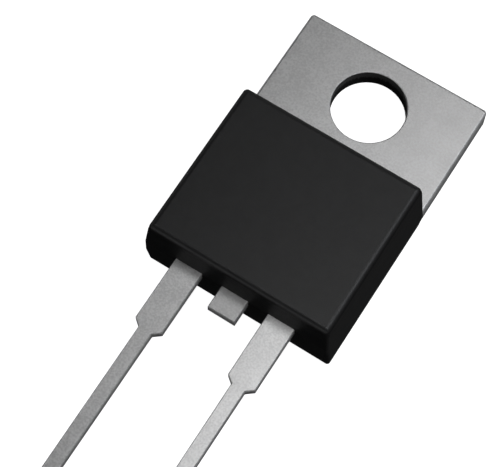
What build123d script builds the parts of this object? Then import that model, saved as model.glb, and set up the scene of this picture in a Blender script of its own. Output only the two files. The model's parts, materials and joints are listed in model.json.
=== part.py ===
from build123d import *
import os
from math import radians, tan

# Power rectifier diode in a two-lead package with a screw-down tab.
#
# The origin is on the axis of the mounting hole, in the plane of the tab's back face.
# X runs across the package, +Y goes to the free end of the tab, the leads run towards -Y,
# and +Z comes out of the moulding's front face. The part lies flat on its back at Z = 0.

# --- Driving dimensions, in millimetres and degrees ---

# Tab and header: the thick part of the copper frame
tab_width = 10.15
tab_thickness = 1.15
tab_end = 2.96                 # hole axis to the free end of the tab
tab_corner_radius = 0.2
tab_edge_roll = 0.12           # rounded edge that the punch leaves round the front face
hole_diameter = 3.8
hole_edge_roll = 0.06
header_width = 9.1             # narrower than the tab, so that the moulding wraps its sides
header_end = 9.55              # hole axis to the end of the header, under the moulding
header_corner = 0.8            # chamfer on the header's two far corners
lip_thickness = 0.75           # front layer of the header, which overhangs the back layer
lip_overhang = 0.3
groove_from_edge = 0.9         # moulding's edge to the middle of the groove in the header
groove_width = 0.5
groove_depth = 0.2

# Leads: the thin part of the copper frame
lead_pitch = 5.08              # between the two long leads
lead_thickness = 0.5
lead_edge_bevel = 0.04         # the same edge on the thin part, where it is too small to be round
lead_plane = 2.63              # back face to the middle of the leads' thickness
lead_length = 13.35            # moulding to the tip
lead_wide_width = 1.47
lead_wide_length = 3.37        # moulding to the shoulders
lead_narrow_width = 0.72
shoulder_length = 0.3
stub_width = 1.48              # the cut-off middle lead
stub_length = 1.17
bend_angle = 60                # slope of the bend that lifts the middle lead off the header
bend_radius = 0.25             # inside radius of that bend
bend_from_header = 0.35        # header's end to the corner that the bend rounds
bend_root = 0.6                # length of the thin strip that the header's own metal covers

# Bond posts: the leads' inner ends
post_width = 2.6
post_length = 1.25
post_inset = 0.6               # moulding's end wall to the near edge of the post
post_corner_radius = 0.15
bridge_length = 0.6            # strip that joins the cathode's post to the middle lead

# Moulding
body_width = 10.39             # at the tab's front face, where the moulding is widest
body_height = 4.45
body_start = 3.47              # hole axis to the moulding, at the tab's front face
body_end = 12.23               # hole axis to the moulding's end wall, in the lead plane
side_draft = 5.5
head_draft = 2.0
foot_draft = 6.5
back_draft = 4.5               # slope of the walls towards the back face
body_corner_radius = 0.15
front_corner_radius = 0.32     # the corners open out to this at the front face
front_corner_run = 0.5         # height over which they do
front_edge_radius = 0.3
tab_run_in = 0.3               # full tab width inside the moulding

# Chip, solder and bond wires
chip_size = 3.2
chip_thickness = 0.28
chip_from_edge = 3.5           # moulding's edge to the middle of the chip
solder_thickness = 0.06
solder_margin = 0.12           # how far the solder spreads past the chip
wire_diameter = 0.38
wire_count = 2
wire_spacing_on_chip = 1.2
wire_spacing_on_post = 1.0
loop_height = 0.7              # loop's middle line above the post's front face
loop_rise_end = 0.42           # share of the span where the loop stops rising
loop_fall_start = 0.72         # share of the span where it starts to come down
loop_radius = 0.4
foot_length = 0.9              # flattened end of a wire
foot_width = 0.56
foot_height = 0.22
foot_heel = 0.25               # middle of the foot to where the round wire leaves it
foot_corner_radius = 0.15

# --- Places that follow from them ---

lead_back = lead_plane - lead_thickness / 2
lead_front = lead_plane + lead_thickness / 2
lead_x = lead_pitch / 2
shoulder_y = -(body_end + lead_wide_length)
tip_y = -(body_end + lead_length)
header_start = -(body_start + tab_run_in)
post_y = -(body_end - post_inset - post_length / 2)
chip_y = -(body_start + chip_from_edge)
chip_base = tab_thickness + solder_thickness
chip_top = chip_base + chip_thickness


def lean(height, draft):
    """Sideways run of a wall over a height, for a draft angle in degrees."""
    return height * tan(radians(draft))


def body_section(height):
    """The moulding's half width and its two ends along Y, at a height above the back face."""
    past_tab = height - tab_thickness
    past_leads = height - lead_plane
    half_width = body_width / 2 - lean(abs(past_tab), side_draft if past_tab > 0 else back_draft)
    head_y = -body_start - lean(max(past_tab, 0), head_draft)
    foot_y = -body_end + lean(abs(past_leads), foot_draft if past_leads > 0 else back_draft)
    return half_width, head_y, foot_y


def long_lead(side):
    """A long lead with its bond post and its bevelled front edge; side is -1 or 1."""
    wide = lead_wide_width / 2
    narrow = lead_narrow_width / 2
    with BuildPart() as lead:
        with BuildSketch(Plane.XY.offset(lead_back)):
            with BuildLine(Location((side * lead_x, 0))):
                Polyline(
                    (wide, post_y),
                    (wide, shoulder_y),
                    (narrow, shoulder_y - shoulder_length),
                    (narrow, tip_y),
                    (-narrow, tip_y),
                    (-narrow, shoulder_y - shoulder_length),
                    (-wide, shoulder_y),
                    (-wide, post_y),
                    close=True,
                )
            make_face()
            with Locations((side * lead_x, post_y)):
                RectangleRounded(post_width, post_length, post_corner_radius)
        extrude(amount=lead_thickness)
        chamfer(lead.faces().sort_by(Axis.Z)[-1].edges(), lead_edge_bevel)
    return lead.part


# --- Cathode frame: tab, header, cut middle lead and cathode lead, stamped as one piece ---

with BuildPart() as cathode_frame:
    # Middle lead: a thin strip that leaves flush with the header's front, bends up to the
    # lead plane and is cut off just outside the moulding
    with BuildSketch(Plane.YZ):
        with BuildLine() as strip_side:
            bend_y = -(header_end + bend_from_header)
            flat_y = bend_y - (lead_front - tab_thickness) / tan(radians(bend_angle))
            strip_back = FilletPolyline(
                (-(header_end - bend_root), tab_thickness - lead_thickness),
                (bend_y, tab_thickness - lead_thickness),
                (flat_y, lead_back),
                (-(body_end + stub_length), lead_back),
                radius=(bend_radius + lead_thickness, bend_radius),
            )
            offset(strip_back, lead_thickness, side=Side.RIGHT)
        make_face()
    extrude(amount=stub_width / 2, both=True)
    stub_rim = cathode_frame.faces().sort_by(Axis.Z)[-1].edges()
    chamfer(stub_rim.sort_by(Axis.Y)[:-1], lead_edge_bevel)

    # Cathode lead in the lead plane, with its post joined to the middle lead
    add(long_lead(-1))
    with BuildSketch(Plane.XY.offset(lead_back)):
        with Locations((-lead_x, post_y - post_length / 2)):
            Rectangle(lead_x, bridge_length, align=Align.MIN)
    extrude(amount=lead_thickness)

    # Header in two layers: the front one overhangs the back one, and the moulding grips it
    for base, thickness, inset in (
        (0, tab_thickness - lip_thickness, lip_overhang),
        (tab_thickness - lip_thickness, lip_thickness, 0),
    ):
        with BuildSketch(Plane.XY.offset(base)) as header_outline:
            with Locations((0, header_start)):
                Rectangle(
                    header_width - 2 * inset,
                    header_end - inset + header_start,
                    align=(Align.CENTER, Align.MAX),
                )
            chamfer(header_outline.vertices().group_by(Axis.Y)[0], header_corner)
        extrude(amount=thickness)

    # V groove across the header's front, which keys the moulding
    with BuildSketch(Plane.YZ):
        with BuildLine():
            groove_y = -(body_start + groove_from_edge)
            Polyline(
                (groove_y - groove_width / 2, tab_thickness),
                (groove_y, tab_thickness - groove_depth),
                (groove_y + groove_width / 2, tab_thickness),
                close=True,
            )
        make_face()
    extrude(amount=header_width / 2, both=True, mode=Mode.SUBTRACT)

    # Tab, with the punch's rounded edge round its front face and its mounting hole
    with BuildPart(mode=Mode.PRIVATE) as tab:
        with BuildSketch() as tab_outline:
            with Locations((0, tab_end)):
                Rectangle(tab_width, tab_end - header_start, align=(Align.CENTER, Align.MAX))
            fillet(tab_outline.vertices().group_by(Axis.Y)[-1], tab_corner_radius)
        extrude(amount=tab_thickness)
        fillet(tab.faces().sort_by(Axis.Z)[-1].edges().sort_by(Axis.Y)[1:], tab_edge_roll)
        Hole(hole_diameter / 2)
        fillet(tab.faces().sort_by(Axis.Z)[-1].edges().filter_by(GeomType.CIRCLE), hole_edge_roll)
    add(tab.part)

# --- Anode lead: the same outline on the other side, held by the moulding alone ---

with BuildPart() as anode_lead:
    add(long_lead(1))

# --- Chip, soldered to the header ---

with BuildPart() as chip_solder:
    with BuildSketch(Plane.XY.offset(tab_thickness)):
        with Locations((0, chip_y)):
            Rectangle(chip_size + 2 * solder_margin, chip_size + 2 * solder_margin)
    extrude(amount=solder_thickness)

with BuildPart() as diode_chip:
    with BuildSketch(Plane.XY.offset(chip_base)):
        with Locations((0, chip_y)):
            Rectangle(chip_size, chip_size)
    extrude(amount=chip_thickness)

# --- Bond wires: each is flattened at both ends, on the chip and on the anode's post ---

bond_wires = []
for number in range(wire_count):
    from_middle = number - (wire_count - 1) / 2
    chip_foot = Vector(from_middle * wire_spacing_on_chip, chip_y, chip_top)
    post_foot = Vector(lead_x + from_middle * wire_spacing_on_post, post_y, lead_front)
    climb = post_foot.Z - chip_foot.Z
    level_run = Vector(post_foot.X - chip_foot.X, post_foot.Y - chip_foot.Y)
    span = level_run.length
    with BuildPart() as bond_wire:
        with BuildLine(Plane(chip_foot, x_dir=level_run, z_dir=level_run.cross(Vector(0, 0, 1)))):
            wire_line = FilletPolyline(
                (foot_heel, wire_diameter / 2),
                (span * loop_rise_end, climb + loop_height),
                (span * loop_fall_start, climb + loop_height),
                (span - foot_heel, climb + wire_diameter / 2),
                radius=loop_radius,
            )
        with BuildSketch(Plane(wire_line @ 0, z_dir=wire_line % 0)):
            Circle(wire_diameter / 2)
        sweep()
        for foot in (chip_foot, post_foot):
            with BuildSketch(Plane(foot, x_dir=level_run, z_dir=(0, 0, 1))):
                RectangleRounded(foot_length, foot_width, foot_corner_radius)
            extrude(amount=foot_height)
    bond_wires.append(bond_wire)

# --- Moulding: black epoxy that fills all the room round the pieces inside it ---

with BuildPart() as moulded_body:
    for height, corner_radius in (
        (0, body_corner_radius),
        (tab_thickness, body_corner_radius),
        (lead_plane, body_corner_radius),
        (body_height - front_corner_run, body_corner_radius),
        (body_height, front_corner_radius),
    ):
        half_width, head_y, foot_y = body_section(height)
        with BuildSketch(Plane.XY.offset(height)):
            with Locations((0, head_y)):
                Rectangle(2 * half_width, head_y - foot_y, align=(Align.CENTER, Align.MAX))
            fillet(vertices(), corner_radius)
    loft(ruled=True)
    front_rim = moulded_body.faces().sort_by(Axis.Z)[-1].edges()
    fillet(front_rim, front_edge_radius)
    for inner in (cathode_frame, anode_lead, chip_solder, diode_chip, *bond_wires):
        add(inner.part, mode=Mode.SUBTRACT)

# --- One file for each piece ---

pieces = {
    "moulded_body": moulded_body,
    "cathode_frame": cathode_frame,
    "anode_lead": anode_lead,
    "chip_solder": chip_solder,
    "diode_chip": diode_chip,
}
for number, bond_wire in enumerate(bond_wires, start=1):
    pieces[f"bond_wire_{number}"] = bond_wire

os.makedirs("parts", exist_ok=True)
for name, piece in pieces.items():
    piece.part.label = name
    export_step(piece.part, f"parts/{name}.step")
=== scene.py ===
import json
import math

import bpy
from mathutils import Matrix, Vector


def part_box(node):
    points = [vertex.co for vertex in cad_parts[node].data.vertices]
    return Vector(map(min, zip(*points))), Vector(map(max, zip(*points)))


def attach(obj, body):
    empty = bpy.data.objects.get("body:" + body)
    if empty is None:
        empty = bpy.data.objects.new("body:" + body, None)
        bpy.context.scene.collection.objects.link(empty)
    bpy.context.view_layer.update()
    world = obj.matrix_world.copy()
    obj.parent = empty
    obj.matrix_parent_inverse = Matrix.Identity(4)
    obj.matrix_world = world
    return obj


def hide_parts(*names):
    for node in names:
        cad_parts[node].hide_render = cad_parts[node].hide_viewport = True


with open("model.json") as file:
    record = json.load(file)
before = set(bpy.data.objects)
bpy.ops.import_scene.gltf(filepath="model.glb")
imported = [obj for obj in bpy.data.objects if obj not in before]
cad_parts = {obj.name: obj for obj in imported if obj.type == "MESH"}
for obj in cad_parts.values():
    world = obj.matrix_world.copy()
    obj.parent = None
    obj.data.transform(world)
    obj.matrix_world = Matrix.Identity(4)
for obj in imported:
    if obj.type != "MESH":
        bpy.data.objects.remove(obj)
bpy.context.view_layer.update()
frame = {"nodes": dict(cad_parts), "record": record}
scene = bpy.context.scene


# ---------------------------------------------------------------------------------------------
# Cathode frame and anode lead: stamped from copper strip of two thicknesses and plated with
# matte tin. The punch shears the part of each wall that is next to the front face and tears the
# rest, so a wall is bright under its rounded edge, then rougher, scored and darker.

def new_finish(name):
    """An empty node material: (material, its node tree, its Principled shader)."""
    material = bpy.data.materials.new(name)
    material.use_nodes = True
    return material, material.node_tree, material.node_tree.nodes["Principled BSDF"]


def add_node(tree, kind, inputs=(), **settings):
    """A node of any tree, with its inputs by name or number, as values or as sockets to link."""
    node = tree.nodes.new(kind)
    for name, value in settings.items():
        setattr(node, name, value)
    for name, value in dict(inputs).items():
        if isinstance(value, bpy.types.NodeSocket):
            tree.links.new(value, node.inputs[name])
        else:
            node.inputs[name].default_value = value
    return node


def calculate(tree, operation, first, second=0.0):
    """Result of a sum on two numbers or sockets."""
    return add_node(tree, "ShaderNodeMath", {0: first, 1: second}, operation=operation).outputs[0]


def spread(tree, value, low, high, low_in=0.3, high_in=0.7):
    """Eases a value onto the range low to high, as it goes from low_in to high_in."""
    ends = {"From Min": low_in, "From Max": high_in, "To Min": low, "To Max": high}
    return add_node(tree, "ShaderNodeMapRange", {"Value": value, **ends},
                    interpolation_type="SMOOTHSTEP").outputs["Result"]


def grain(tree, place, size, detail=2.0, stretch=(1, 1, 1)):
    """Noise with blotches of a size in metres, drawn out along an axis whose stretch is small."""
    scaled = add_node(tree, "ShaderNodeMapping", {"Vector": place, "Scale": stretch}).outputs["Vector"]
    return add_node(tree, "ShaderNodeTexNoise",
                    {"Vector": scaled, "Scale": 1 / size, "Detail": detail}).outputs["Fac"]


def blend(tree, share, none, full):
    """Number or colour that goes from none to full with a share from 0 to 1."""
    colour = not isinstance(none, (int, float)) and getattr(none, "type", "RGBA") == "RGBA"
    if colour:
        none, full = ((*c, 1) if isinstance(c, tuple) else c for c in (none, full))
    mix = add_node(tree, "ShaderNodeMix", data_type="RGBA" if colour else "FLOAT")
    for name, value in (("Factor", share), ("A", none), ("B", full)):
        if isinstance(value, bpy.types.NodeSocket):
            tree.links.new(value, mix.inputs[name])
        else:
            mix.inputs[name].default_value = value
    return mix.outputs["Result"]


def relief(tree, height, depth, shader):
    """Relief of the given depth in metres, put on a shader."""
    bump = add_node(tree, "ShaderNodeBump", {"Height": height, "Strength": 1.0, "Distance": depth})
    tree.links.new(bump.outputs["Normal"], shader.inputs["Normal"])


mounts = {mount["name"]: mount for mount in frame["record"]["mounts"]}
tab_front = mounts["mounting_hole"]["dims"]["length_mm"] / 1000
hole_reach = mounts["mounting_hole"]["dims"]["r_mm"] / 1000 * 1.05      # a little past its wall
anode_low, anode_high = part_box("anode_lead")
lead_back = anode_low.z
lead_front = anode_high.z
lead_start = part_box("moulded_body")[0].y      # where the leads come out of the moulding
stub_reach = 0.0009            # half the stub's width and a little more
painted_shade_reach = 0.0006           # length of lead next to the moulding that gets painted shade
painted_shade_edge = 0.0002            # how far inside the moulding's wall the painted shade begins
wall_flatness = (0.35, 0.65)   # from 0, upright, to 1, level: a wall's is less, a bevel's is more
edge_flatness = (0.90, 0.99)   # a rolled edge's is less, a level face's is more
score_width = 0.00005
score_stretch = 0.12           # the scores' width over their length
crystal_size = 0.00010
cloud_size = 0.0009
crystal_share = 0.75           # of the colour's variation; the rest is the cloud's
patch_contrast = (0.35, 0.65)  # the variation's values that are all dark and all light
tear_raggedness = 0.08         # as a share of the wall's height
tear_line = (0.46, 0.66)       # shares of that height: torn below, sheared above
tin_depth = 0.000003           # height of the crystals
score_depth_share = 1.5        # the scores' depth over that

tin_dark = (0.61, 0.61, 0.61)
tin_light = (0.76, 0.76, 0.76)
torn_dark = (0.32, 0.32, 0.32)
torn_light = (0.56, 0.56, 0.56)
stub_dark_colour = (0.28, 0.28, 0.28)
stub_dark_share = 0.45
painted_shade_colour = (0.35, 0.35, 0.35)
painted_shade_share = 0.35
# Painted shade for the hole's wall: colours for its sheared and torn parts
hole_painted_shade_sheared = (0.20, 0.20, 0.20)
hole_painted_shade_torn = (0.06, 0.06, 0.06)
face_rough = (0.32, 0.40)
rolled_rough = 0.75
sheared_rough = (0.78, 0.90)
torn_rough = 0.95

tin, tree, shader = new_finish("matte_tin_on_copper")
surface = add_node(tree, "ShaderNodeTexCoord")
place = surface.outputs["Object"]
axes = add_node(tree, "ShaderNodeSeparateXYZ", {"Vector": place})
height = axes.outputs["Z"]
facing = add_node(tree, "ShaderNodeSeparateXYZ", {"Vector": surface.outputs["Normal"]}).outputs["Z"]
flatness = calculate(tree, "ABSOLUTE", facing)
wall = spread(tree, flatness, 1.0, 0.0, *wall_flatness)
rolled = spread(tree, flatness, 1.0, 0.0, *edge_flatness)

# How far up its wall a place is, from 0 at the back to 1 at the front, and where the wall is torn
tab_share = calculate(tree, "DIVIDE", height, tab_front)
above_lead_back = calculate(tree, "SUBTRACT", height, lead_back)
lead_share = calculate(tree, "DIVIDE", above_lead_back, lead_front - lead_back)
on_lead = calculate(tree, "GREATER_THAN", height, (tab_front + lead_back) / 2)
up_wall = blend(tree, on_lead, tab_share, lead_share)
scores = grain(tree, place, score_width, detail=3.0, stretch=(1, 1, score_stretch))
ragged = calculate(tree, "ADD", up_wall, spread(tree, scores, -tear_raggedness, tear_raggedness))
torn = calculate(tree, "MULTIPLY", wall, spread(tree, ragged, 1.0, 0.0, *tear_line))

# Painted shade: the hole's wall is darkened in its colour, standing in for the shade inside the hole
level = add_node(tree, "ShaderNodeVectorMath", {0: place, 1: (1, 1, 0)}, operation="MULTIPLY")
from_axis = add_node(tree, "ShaderNodeVectorMath", {0: level.outputs[0]}, operation="LENGTH")
in_shaded_hole = calculate(tree, "LESS_THAN", from_axis.outputs["Value"], hole_reach)
hole_wall_shade = calculate(tree, "MULTIPLY", in_shaded_hole, wall)

# Outside the moulding, the middle lead's stub is made darker, and the leads get painted shade
# where they come out, standing in for the shade of the moulding's end
from_moulding = calculate(tree, "SUBTRACT", lead_start, axes.outputs["Y"])
outside = spread(tree, from_moulding, 0.0, 1.0, -painted_shade_edge, 0.0)
bare_lead = calculate(tree, "MULTIPLY", on_lead, outside)
from_middle = calculate(tree, "ABSOLUTE", axes.outputs["X"])
near_middle = calculate(tree, "LESS_THAN", from_middle, stub_reach)
on_stub = calculate(tree, "MULTIPLY", bare_lead, near_middle)
# The middle lead's stub is made darker
darker_stub = calculate(tree, "MULTIPLY", on_stub, stub_dark_share)
# Painted shade on the leads next to the moulding
lead_shade = spread(tree, from_moulding, painted_shade_share, 0.0, 0.0, painted_shade_reach)
shaded_lead = calculate(tree, "MULTIPLY", bare_lead, lead_shade)

cloud = grain(tree, place, cloud_size, detail=4.0)
crystals = grain(tree, place, crystal_size, detail=4.0)
mottle = blend(tree, crystal_share, cloud, crystals)
patches = spread(tree, mottle, 0.0, 1.0, *patch_contrast)
plated_colour = blend(tree, patches, tin_dark, tin_light)
plated_colour = blend(tree, darker_stub, plated_colour, stub_dark_colour)
plated_colour = blend(tree, shaded_lead, plated_colour, painted_shade_colour)
plated_colour = blend(tree, hole_wall_shade, plated_colour, hole_painted_shade_sheared)
torn_colour = blend(tree, spread(tree, scores, 0.0, 1.0), torn_dark, torn_light)
torn_colour = blend(tree, in_shaded_hole, torn_colour, hole_painted_shade_torn)
tree.links.new(blend(tree, torn, plated_colour, torn_colour), shader.inputs["Base Color"])
face_roughness = blend(tree, rolled, spread(tree, crystals, *face_rough), rolled_rough)
plated_roughness = blend(tree, wall, face_roughness, spread(tree, scores, *sheared_rough))
tree.links.new(blend(tree, torn, plated_roughness, torn_rough), shader.inputs["Roughness"])
shader.inputs["Metallic"].default_value = 1.0
deep_scores = calculate(tree, "MULTIPLY", scores, score_depth_share)
relief(tree, blend(tree, wall, crystals, deep_scores), tin_depth, shader)

for name in ("cathode_frame", "anode_lead"):
    frame["nodes"][name].material_slots[0].material = tin


# ---------------------------------------------------------------------------------------------
# Chip and its solder: the chip is a sawn square of silicon, its front covered by a thick
# aluminium pad inside a dark passivated rim. A thin even layer of lead-tin-silver solder, melted
# from a preform, holds it on the header.

chip_low, chip_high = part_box("diode_chip")
chip_middle = (chip_low + chip_high) / 2
chip_half = (chip_high.x - chip_low.x) / 2
rim_width = 0.00035            # chip's edge to the aluminium pad
rim_edge = 0.00001
saw_mark_width = 0.00003
saw_mark_stretch = 0.05        # the marks' width over their length
pad_grain_size = 0.00002
chip_depth = 0.000001          # relief of the saw marks and of the pad's grain
front_facing = (0.6, 0.9)      # from 0, sideways, to 1, forward: a sawn side's is less, the front's more
sawn_colour = (0.10, 0.10, 0.11)
rim_colour = (0.035, 0.045, 0.06)
pad_colour = (0.78, 0.78, 0.79)
sawn_rough = (0.35, 0.60)
rim_rough = 0.18
pad_rough = (0.38, 0.50)

silicon, tree, shader = new_finish("silicon_with_aluminium_pad")
surface = add_node(tree, "ShaderNodeTexCoord")
place = surface.outputs["Object"]
facing = add_node(tree, "ShaderNodeSeparateXYZ", {"Vector": surface.outputs["Normal"]}).outputs["Z"]
centred = add_node(tree, "ShaderNodeVectorMath", {0: place, 1: chip_middle}, operation="SUBTRACT")
across = add_node(tree, "ShaderNodeSeparateXYZ", {"Vector": centred.outputs["Vector"]})
farther = calculate(tree, "MAXIMUM", calculate(tree, "ABSOLUTE", across.outputs["X"]),
                    calculate(tree, "ABSOLUTE", across.outputs["Y"]))
from_edge = calculate(tree, "SUBTRACT", chip_half, farther)
front = spread(tree, facing, 0.0, 1.0, *front_facing)
inside_rim = spread(tree, from_edge, 0.0, 1.0, rim_width - rim_edge, rim_width + rim_edge)
pad = calculate(tree, "MULTIPLY", front, inside_rim)
saw_marks = grain(tree, place, saw_mark_width, stretch=(saw_mark_stretch, saw_mark_stretch, 1))
pad_grain = grain(tree, place, pad_grain_size, detail=3.0)
bare_colour = blend(tree, front, sawn_colour, rim_colour)
tree.links.new(blend(tree, pad, bare_colour, pad_colour), shader.inputs["Base Color"])
tree.links.new(pad, shader.inputs["Metallic"])
bare_roughness = blend(tree, front, spread(tree, saw_marks, *sawn_rough), rim_rough)
pad_roughness = spread(tree, pad_grain, *pad_rough)
tree.links.new(blend(tree, pad, bare_roughness, pad_roughness), shader.inputs["Roughness"])
relief(tree, blend(tree, front, saw_marks, pad_grain), chip_depth, shader)
frame["nodes"]["diode_chip"].material_slots[0].material = silicon

ripple_size = 0.0004
frosting_size = 0.00004
ripple_depth = 0.000006
frosting_depth_share = 0.1     # the frosting's depth over the ripple's
solder_dark = (0.42, 0.43, 0.45)
solder_light = (0.50, 0.51, 0.53)
solder_rough = (0.28, 0.42)

solder, tree, shader = new_finish("soft_solder")
place = add_node(tree, "ShaderNodeTexCoord").outputs["Object"]
ripple = grain(tree, place, ripple_size)
frosting = grain(tree, place, frosting_size, detail=3.0)
solder_colour = blend(tree, spread(tree, ripple, 0.0, 1.0), solder_dark, solder_light)
tree.links.new(solder_colour, shader.inputs["Base Color"])
tree.links.new(spread(tree, frosting, *solder_rough), shader.inputs["Roughness"])
shader.inputs["Metallic"].default_value = 1.0
fine_frosting = calculate(tree, "MULTIPLY", frosting, frosting_depth_share)
relief(tree, calculate(tree, "ADD", ripple, fine_frosting), ripple_depth, shader)
frame["nodes"]["chip_solder"].material_slots[0].material = solder


# ---------------------------------------------------------------------------------------------
# Bond wires: two lengths of drawn aluminium wire, pressed and rubbed onto the chip's pad and the
# anode's post by an ultrasonic wedge, which flattens each end and nips the wire off behind it.

wire_diameter = 0.00038
foot_length = 0.0009
foot_width = 0.00056
foot_height = 0.00022
foot_heel = 0.00025            # middle of a foot to where the wire lifts off
foot_flat = 0.0005             # length of an end that is fully flattened
heel_run = 0.0003              # length over which the flat foot becomes round wire
nip_run = 0.00012              # length over which the cut end is nipped down to half its height
spacing_on_chip = 0.0012
spacing_on_post = 0.0010
post_length = 0.00125
loop_height = 0.0007           # loop's middle line above the post
loop_radius = 0.0004
loop_rise_end = 0.42           # share of the span where the loop stops rising
loop_fall_start = 0.72         # share of the span where it starts to come down
bend_points = 8                # points round each bend of the path
rings_along = 120              # sections along a wire
sides_round = 24               # sides of each section
die_line_width = 0.00003
die_line_stretch = 0.03        # the lines' width over their length
die_line_depth = 0.000001
wire_dark = (0.74, 0.74, 0.75)
wire_light = (0.82, 0.82, 0.83)
wire_rough = (0.24, 0.40)


def wire_tree(material):
    """Geometry Nodes: a rounded run of wire along a curve, with both ends flattened."""
    tree = bpy.data.node_groups.new("bonded_wire", "GeometryNodeTree")
    tree.interface.new_socket(name="Geometry", in_out="OUTPUT", socket_type="NodeSocketGeometry")
    tree.interface.new_socket(name="Path", in_out="INPUT", socket_type="NodeSocketGeometry")
    for name in ("Diameter", "Bend Radius", "Flat Length", "Foot Width", "Foot Height", "Heel Run"):
        tree.interface.new_socket(name=name, in_out="INPUT", socket_type="NodeSocketFloat")
    sizes = tree.nodes.new("NodeGroupInput").outputs

    # Path, rounded at its bends and divided evenly
    bends = {"Count": bend_points, "Radius": sizes["Bend Radius"], "Limit Radius": True}
    bent = add_node(tree, "GeometryNodeFilletCurve", {"Curve": sizes["Path"], **bends}, mode="POLY")
    even = add_node(tree, "GeometryNodeResampleCurve",
                    {"Curve": bent.outputs[0], "Count": rings_along})
    level = add_node(tree, "GeometryNodeSetCurveNormal", {"Curve": even.outputs[0]}, mode="Z_UP")

    # Each point of the path keeps its place, its two cross directions and its way to the nearer end
    middle = tree.nodes.new("GeometryNodeInputPosition").outputs[0]
    along = tree.nodes.new("GeometryNodeInputTangent").outputs[0]
    sideways = tree.nodes.new("GeometryNodeInputNormal").outputs[0]
    upward = add_node(tree, "ShaderNodeVectorMath", {0: sideways, 1: along}, operation="CROSS_PRODUCT")
    from_start = tree.nodes.new("GeometryNodeSplineParameter").outputs["Length"]
    whole = tree.nodes.new("GeometryNodeSplineLength").outputs["Length"]
    from_end = calculate(tree, "MINIMUM", from_start, calculate(tree, "SUBTRACT", whole, from_start))
    path = level.outputs[0]
    kept = {}
    for name, kind, value in (
        ("middle", "FLOAT_VECTOR", middle),
        ("sideways", "FLOAT_VECTOR", sideways),
        ("upward", "FLOAT_VECTOR", upward.outputs[0]),
        ("from_end", "FLOAT", from_end),
    ):
        store = add_node(tree, "GeometryNodeStoreNamedAttribute",
                         {"Geometry": path, "Name": name}, data_type=kind)
        tree.links.new(value, store.inputs["Value"])
        path = store.outputs[0]
        read = add_node(tree, "GeometryNodeInputNamedAttribute", {"Name": name}, data_type=kind)
        kept[name] = read.outputs[0]
    radius = calculate(tree, "MULTIPLY", sizes["Diameter"], 0.5)
    ring = add_node(tree, "GeometryNodeCurvePrimitiveCircle",
                    {"Resolution": sides_round, "Radius": radius})
    round_wire = add_node(tree, "GeometryNodeCurveToMesh",
                          {"Curve": path, "Profile Curve": ring.outputs[0], "Fill Caps": True})

    # Flattening: the section turns from the foot's width and height to a circle along the heel
    round_from = calculate(tree, "ADD", sizes["Flat Length"], sizes["Heel Run"])
    round_share = spread(tree, kept["from_end"], 0.0, 1.0, sizes["Flat Length"], round_from)
    flat_width = calculate(tree, "DIVIDE", sizes["Foot Width"], sizes["Diameter"])
    flat_height = calculate(tree, "DIVIDE", sizes["Foot Height"], sizes["Diameter"])
    nip = spread(tree, kept["from_end"], 0.5, 1.0, 0.0, nip_run)
    width = blend(tree, round_share, flat_width, 1.0)
    height = calculate(tree, "MULTIPLY", nip, blend(tree, round_share, flat_height, 1.0))
    offset = add_node(tree, "ShaderNodeVectorMath", {0: middle, 1: kept["middle"]}, operation="SUBTRACT")
    new_place = kept["middle"]
    around = []
    for direction, factor in ((kept["sideways"], width), (kept["upward"], height)):
        reach = add_node(tree, "ShaderNodeVectorMath", {0: offset.outputs[0], 1: direction},
                         operation="DOT_PRODUCT").outputs["Value"]
        around.append(reach)
        new_reach = calculate(tree, "MULTIPLY", reach, factor)
        moved = add_node(tree, "ShaderNodeVectorMath", {0: direction, "Scale": new_reach},
                         operation="SCALE").outputs[0]
        new_place = add_node(tree, "ShaderNodeVectorMath", {0: new_place, 1: moved},
                             operation="ADD").outputs[0]

    # Place on the drawn surface, for the die lines that run along the wire
    along_lines = calculate(tree, "MULTIPLY", kept["from_end"], die_line_stretch)
    drawn = add_node(tree, "ShaderNodeCombineXYZ", {"X": around[0], "Y": around[1], "Z": along_lines})
    marked = add_node(tree, "GeometryNodeStoreNamedAttribute",
                      {"Geometry": round_wire.outputs[0], "Name": "drawn"}, data_type="FLOAT_VECTOR")
    tree.links.new(drawn.outputs[0], marked.inputs["Value"])
    pressed = add_node(tree, "GeometryNodeSetPosition",
                       {"Geometry": marked.outputs[0], "Position": new_place})
    smooth = add_node(tree, "GeometryNodeSetShadeSmooth", {"Geometry": pressed.outputs[0]})
    real = add_node(tree, "GeometryNodeRealizeInstances", {"Geometry": smooth.outputs[0]})
    dressed = add_node(tree, "GeometryNodeSetMaterial",
                       {"Geometry": real.outputs[0], "Material": material})
    add_node(tree, "NodeGroupOutput", {"Geometry": dressed.outputs[0]})
    return tree


aluminium, tree, shader = new_finish("drawn_aluminium_wire")
drawn = add_node(tree, "ShaderNodeAttribute", attribute_name="drawn").outputs["Vector"]
die_lines = grain(tree, drawn, die_line_width, detail=3.0)
wire_colour = blend(tree, spread(tree, die_lines, 0.0, 1.0), wire_dark, wire_light)
tree.links.new(wire_colour, shader.inputs["Base Color"])
tree.links.new(spread(tree, die_lines, *wire_rough), shader.inputs["Roughness"])
shader.inputs["Metallic"].default_value = 1.0
relief(tree, die_lines, die_line_depth, shader)

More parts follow.
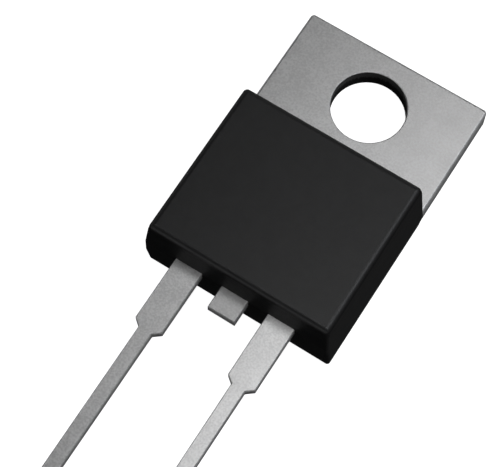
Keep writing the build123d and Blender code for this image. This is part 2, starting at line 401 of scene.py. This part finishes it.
bonded_wire = wire_tree(aluminium)
wire_sizes = {
    "Diameter": wire_diameter,
    "Bend Radius": loop_radius,
    "Flat Length": foot_flat,
    "Foot Width": foot_width,
    "Foot Height": foot_height,
    "Heel Run": heel_run,
}
post_middle = Vector(((anode_low.x + anode_high.x) / 2, anode_high.y - post_length / 2, lead_front))
foot_middle = foot_height / 2
up = Vector((0, 0, 1))
for number, side in ((1, -0.5), (2, 0.5)):
    start = Vector((side * spacing_on_chip, chip_middle.y, chip_high.z))
    end = post_middle + Vector((side * spacing_on_post, 0, 0))
    level_run = Vector((end.x - start.x, end.y - start.y, 0))
    span = level_run.length
    ahead = level_run.normalized()
    climb = end.z - start.z
    stations = (
        (-foot_length / 2, foot_middle),
        (foot_heel, foot_middle),
        (span * loop_rise_end, climb + loop_height),
        (span * loop_fall_start, climb + loop_height),
        (span - foot_heel, climb + foot_middle),
        (span + foot_length / 2, climb + foot_middle),
    )
    curve = bpy.data.curves.new(f"bond_wire_path_{number}", "CURVE")
    curve.dimensions = "3D"
    spline = curve.splines.new("POLY")
    spline.points.add(len(stations) - 1)
    for point, (run, rise) in zip(spline.points, stations):
        point.co = (*(start + ahead * run + up * rise), 1)
    path = bpy.data.objects.new(f"bond_wire_path_{number}", curve)
    scene.collection.objects.link(path)
    modifier = path.modifiers.new("wire", "NODES")
    modifier.node_group = bonded_wire
    for item in bonded_wire.interface.items_tree:
        if item.in_out == "INPUT" and item.name in wire_sizes:
            modifier[item.identifier] = wire_sizes[item.name]
    evaluated = path.evaluated_get(bpy.context.evaluated_depsgraph_get())
    wire_mesh = bpy.data.meshes.new_from_object(evaluated)
    wire = bpy.data.objects.new(f"drawn_bond_wire_{number}", wire_mesh)
    scene.collection.objects.link(wire)
    bpy.data.objects.remove(path)
    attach(wire, "root")
    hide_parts(f"bond_wire_{number}")


# ---------------------------------------------------------------------------------------------
# Moulding: black silica-filled epoxy, transfer-moulded in one shot round the frame and the chip.
# The mould is spark-eroded, so the skin is an even fine matte. A hair line of smoother resin runs
# along each side where the mould's halves met, level with the tab's face.

epoxy_cloud_size = 0.0006
crater_size = 0.00006
crater_depth = 0.000003
parting_half = 0.00002         # half the hair line's width
parting_edge = 0.00001
side_facing = (0.8, 0.9)       # from 0, forward, to 1, sideways: the front's is less, a side's is more
epoxy_dark = (0.0045, 0.0045, 0.0050)
epoxy_light = (0.0070, 0.0070, 0.0075)
skin_rough = (0.40, 0.48)
parting_rough = 0.34

epoxy, tree, shader = new_finish("black_moulding_epoxy")
surface = add_node(tree, "ShaderNodeTexCoord")
place = surface.outputs["Object"]
height = add_node(tree, "ShaderNodeSeparateXYZ", {"Vector": place}).outputs["Z"]
facing = add_node(tree, "ShaderNodeSeparateXYZ", {"Vector": surface.outputs["Normal"]}).outputs["X"]
on_side = spread(tree, calculate(tree, "ABSOLUTE", facing), 0.0, 1.0, *side_facing)
from_parting = calculate(tree, "ABSOLUTE", calculate(tree, "SUBTRACT", height, tab_front))
in_line = spread(tree, from_parting, 1.0, 0.0, parting_half - parting_edge, parting_half + parting_edge)
parting = calculate(tree, "MULTIPLY", on_side, in_line)

cloud = spread(tree, grain(tree, place, epoxy_cloud_size, detail=4.0), 0.0, 1.0)
craters = grain(tree, place, crater_size, detail=3.0)
tree.links.new(blend(tree, cloud, epoxy_dark, epoxy_light), shader.inputs["Base Color"])
skin_roughness = spread(tree, craters, *skin_rough)
tree.links.new(blend(tree, parting, skin_roughness, parting_rough), shader.inputs["Roughness"])
shader.inputs["Specular IOR Level"].default_value = 0.5
relief(tree, calculate(tree, "ADD", craters, parting), crater_depth, shader)
frame["nodes"]["moulded_body"].material_slots[0].material = epoxy


# ---------------------------------------------------------------------------------------------
# Floor, light and camera: a plain white floor in a room with pale walls, three soft boxes above
# it, and a camera with a long lens.

floor_side = 2.0
floor_gap = 0.00002            # keeps the floor clear of the part's back

bpy.ops.mesh.primitive_plane_add(size=floor_side, location=(0, 0, -floor_gap))
floor = bpy.context.object
floor.name = "floor"
floor_white, tree, shader = new_finish("floor_white")
shader.inputs["Base Color"].default_value = (0.9, 0.9, 0.9, 1)
shader.inputs["Emission Color"].default_value = (1, 1, 1, 1)
shader.inputs["Emission Strength"].default_value = 0.95
floor.data.materials.append(floor_white)
floor.visible_glossy = False
floor.visible_diffuse = False

# The room: dark above, a band of pale walls, and a dim table below that is lighter to the right
# and the back. The walls come lower at the back left, and the front one is the brightest. Places
# in the room are parts of a direction of length 1 from the part.
ceiling_glow = 0.002
table_glow = (0.004, 0.046)    # front left, back right
table_reach = (-0.6, 0.6)      # rightward and backward parts together, of those
horizon = (-0.1, 0.1)          # upward parts that the table ends and the ceiling starts at
wall_foot = (0.02, 0.12)
wall_top = (0.45, 0.65)
wall_drop = 0.4                # how much lower the walls come at the back left
drop_reach = (0.5, 0.9)        # backward less rightward parts that the drop starts and is whole at
wall_glow = (0.80, 0.30)       # front, all round
front_reach = (-0.9, -0.5)     # backward parts of those

world = bpy.data.worlds.new("studio")
world.use_nodes = True
scene.world = world
tree = world.node_tree
room = tree.nodes["Background"]
room.inputs["Color"].default_value = (1, 1, 1, 1)
direction = add_node(tree, "ShaderNodeTexCoord").outputs["Generated"]
bearing = add_node(tree, "ShaderNodeSeparateXYZ", {"Vector": direction})
rightward = bearing.outputs["X"]
backward = bearing.outputs["Y"]
upward = bearing.outputs["Z"]
back_right = calculate(tree, "ADD", rightward, backward)
back_left = calculate(tree, "SUBTRACT", backward, rightward)
table = spread(tree, back_right, *table_glow, *table_reach)
table_and_ceiling = spread(tree, upward, table, ceiling_glow, *horizon)
drop = spread(tree, back_left, 0.0, wall_drop, *drop_reach)
above_foot = spread(tree, calculate(tree, "ADD", upward, drop), 0.0, 1.0, *wall_foot)
below_top = spread(tree, upward, 1.0, 0.0, *wall_top)
walls = calculate(tree, "MULTIPLY", above_foot, below_top)
wall_light = spread(tree, backward, *wall_glow, *front_reach)
tree.links.new(blend(tree, walls, table_and_ceiling, wall_light), room.inputs["Strength"])

# The camera sees the room as plain white
paper = add_node(tree, "ShaderNodeBackground", {"Color": (1, 1, 1, 1), "Strength": 1.0}).outputs[0]
camera_ray = add_node(tree, "ShaderNodeLightPath").outputs["Is Camera Ray"]
seen = add_node(tree, "ShaderNodeMixShader", {"Fac": camera_ray, 1: room.outputs[0], 2: paper})
tree.links.new(seen.outputs[0], tree.nodes["World Output"].inputs["Surface"])

lit_middle = Vector((0, -0.008, 0.002))       # the place in the part that the soft boxes face


def soft_box(name, location, side, radiance, colour=(1, 1, 1)):
    """A square lamp of an even brightness that faces the part, with its place and side in metres."""
    light = bpy.data.lights.new(name, "AREA")
    light.shape = "SQUARE"
    light.size = side
    light.energy = radiance * math.pi * side ** 2
    light.color = colour
    lamp = bpy.data.objects.new(name, light)
    scene.collection.objects.link(lamp)
    toward = Vector(location) - lit_middle
    lamp.location = location
    lamp.rotation_euler = toward.to_track_quat("Z", "Y").to_euler()
    lamp.visible_camera = False


soft_box("overhead", (-0.0098, 0.1104, 0.3041), 0.090, 2.0)
soft_box("near", (0.0105, -0.0070, 0.0812), 0.020, 6.6)
soft_box("right", (0.140, 0.076, 0.247), 0.100, 4.8, (0.96, 0.99, 1.04))

azimuth = math.radians(32.48)
elevation = math.radians(69.33)
distance = 0.08600
lens = 127.24
sensor_width = 36.0
aim = Vector((-0.00160, -0.00839, 0))
toward_camera = Vector((math.sin(azimuth) * math.cos(elevation),
                        -math.cos(azimuth) * math.cos(elevation),
                        math.sin(elevation)))
camera = bpy.data.objects.new("camera", bpy.data.cameras.new("camera"))
scene.collection.objects.link(camera)
camera.location = aim + toward_camera * distance
camera.rotation_euler = toward_camera.to_track_quat("Z", "Y").to_euler()
camera.data.sensor_width = sensor_width
camera.data.lens = lens
camera.data.clip_start = 0.001
camera.data.clip_end = 10.0
scene.camera = camera
scene.view_settings.view_transform = "Standard"
